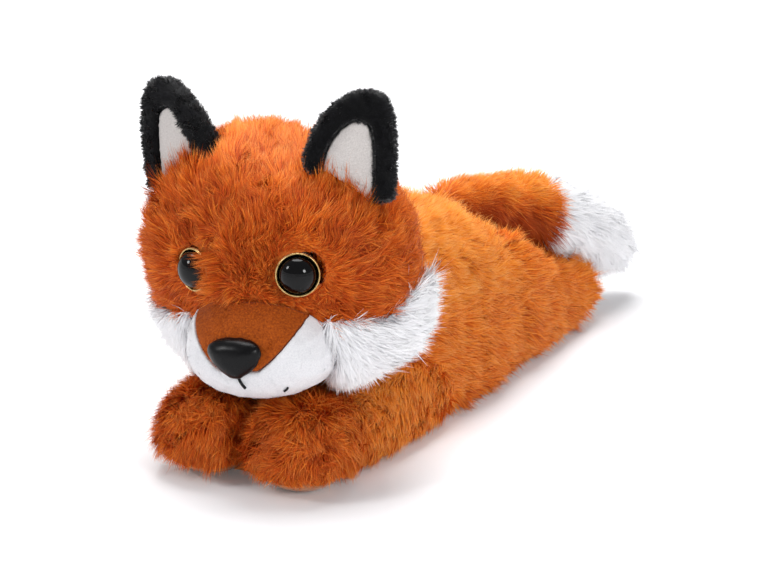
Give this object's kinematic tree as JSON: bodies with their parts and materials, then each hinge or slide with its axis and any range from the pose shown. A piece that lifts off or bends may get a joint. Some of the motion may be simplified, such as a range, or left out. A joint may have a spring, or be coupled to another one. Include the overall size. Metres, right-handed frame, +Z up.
{
  "type": "plush slap bracelet",
  "caption": "Plush fox lying on its belly with a spring strip sewn under it that snaps into a curl round a wrist.",
  "frame": {"origin": "middle of the flat underside of the sleeve under the fox, on the surface it lies on", "axes": "-Y towards the fox's nose and front paws, +X towards its own left, +Z up"},
  "size_m": [0.093, 0.2432, 0.1214],
  "materials": {
    "plush_orange": "long-pile orange plush",
    "plush_white": "long-pile white plush",
    "tricot_rust": "short brushed rust tricot",
    "tricot_white": "short brushed white tricot",
    "plush_black": "short-pile black plush",
    "ear_lining": "short brushed grey-white tricot",
    "belly_tricot": "short brushed tan tricot",
    "stuffing": "loose polyester fibre",
    "nose_plastic": "satin black plastic",
    "eye_plastic": "polished black plastic",
    "eye_ring_gold": "gold-coloured plastic",
    "washer_plastic": "natural plastic",
    "vinyl_jacket": "soft welded vinyl",
    "spring_steel": "rolled spring steel"
  },
  "bodies": {
    "loin": {"strip_loin": "spring_steel", "jacket_loin": "vinyl_jacket", "sleeve_loin": "belly_tricot", "loin_plush": "plush_orange", "loin_stuffing": "stuffing"},
    "chest": {"strip_chest": "spring_steel", "jacket_chest": "vinyl_jacket", "sleeve_chest": "belly_tricot", "chest_plush": "plush_orange", "chest_stuffing": "stuffing", "shoulder_left": "plush_orange", "shoulder_right": "plush_orange", "head_plush": "plush_orange", "head_stuffing": "stuffing", "muzzle_top": "tricot_rust", "muzzle_chin": "tricot_white", "nose": "nose_plastic", "nose_washer": "washer_plastic", "cheek_left": "plush_white", "eye_left": "eye_plastic", "eye_ring_left": "eye_ring_gold", "eye_washer_left": "washer_plastic", "ear_back_left": "plush_black", "ear_lining_left": "ear_lining", "cheek_right": "plush_white", "eye_right": "eye_plastic", "eye_ring_right": "eye_ring_gold", "eye_washer_right": "washer_plastic", "ear_back_right": "plush_black", "ear_lining_right": "ear_lining"},
    "forelegs": {"strip_forelegs": "spring_steel", "jacket_forelegs": "vinyl_jacket", "sleeve_forelegs": "belly_tricot", "foreleg_left": "plush_orange", "foreleg_right": "plush_orange"},
    "paws": {"strip_paws": "spring_steel", "jacket_paws": "vinyl_jacket", "sleeve_paws": "belly_tricot", "paw_left": "plush_orange", "paw_right": "plush_orange"},
    "rump": {"strip_rump": "spring_steel", "jacket_rump": "vinyl_jacket", "sleeve_rump": "belly_tricot", "rump_plush": "plush_orange", "rump_stuffing": "stuffing"},
    "hind_legs": {"strip_hind_legs": "spring_steel", "jacket_hind_legs": "vinyl_jacket", "sleeve_hind_legs": "belly_tricot", "seat_plush": "plush_orange", "seat_stuffing": "stuffing", "thigh_left": "plush_orange", "thigh_right": "plush_orange"},
    "hind_feet": {"strip_hind_feet": "spring_steel", "jacket_hind_feet": "vinyl_jacket", "sleeve_hind_feet": "belly_tricot", "hind_foot_left": "plush_orange", "hind_foot_right": "plush_orange"},
    "tail": {"tail_plush": "plush_orange", "tail_tip": "plush_white"}
  },
  "joints": [
    {"name": "chest_curl", "type": "hinge", "parent": "loin", "child": "chest", "pos_m": [0, -0.0132, 0.0021], "axis": [1, 0, 0], "range_deg": [0, 45]},
    {"name": "forelegs_curl", "type": "hinge", "parent": "chest", "child": "forelegs", "pos_m": [0, -0.0396, 0.0021], "axis": [1, 0, 0], "range_deg": [0, 45]},
    {"name": "paws_curl", "type": "hinge", "parent": "forelegs", "child": "paws", "pos_m": [0, -0.066, 0.0021], "axis": [1, 0, 0], "range_deg": [0, 45]},
    {"name": "rump_curl", "type": "hinge", "parent": "loin", "child": "rump", "pos_m": [0, 0.0132, 0.0021], "axis": [-1, 0, 0], "range_deg": [0, 45]},
    {"name": "hind_legs_curl", "type": "hinge", "parent": "rump", "child": "hind_legs", "pos_m": [0, 0.0396, 0.0021], "axis": [-1, 0, 0], "range_deg": [0, 45]},
    {"name": "hind_feet_curl", "type": "hinge", "parent": "hind_legs", "child": "hind_feet", "pos_m": [0, 0.066, 0.0021], "axis": [-1, 0, 0], "range_deg": [0, 45]},
    {"name": "tail_lift", "type": "hinge", "parent": "hind_legs", "child": "tail", "pos_m": [0, 0.0402, 0.055], "axis": [1, 0, 0], "range_deg": [0, 60]}
  ],
  "couplings": [
    {"joint": "forelegs_curl", "follows": "chest_curl", "ratio": 1},
    {"joint": "paws_curl", "follows": "chest_curl", "ratio": 1},
    {"joint": "rump_curl", "follows": "chest_curl", "ratio": 1},
    {"joint": "hind_legs_curl", "follows": "chest_curl", "ratio": 1},
    {"joint": "hind_feet_curl", "follows": "chest_curl", "ratio": 1}
  ]
}
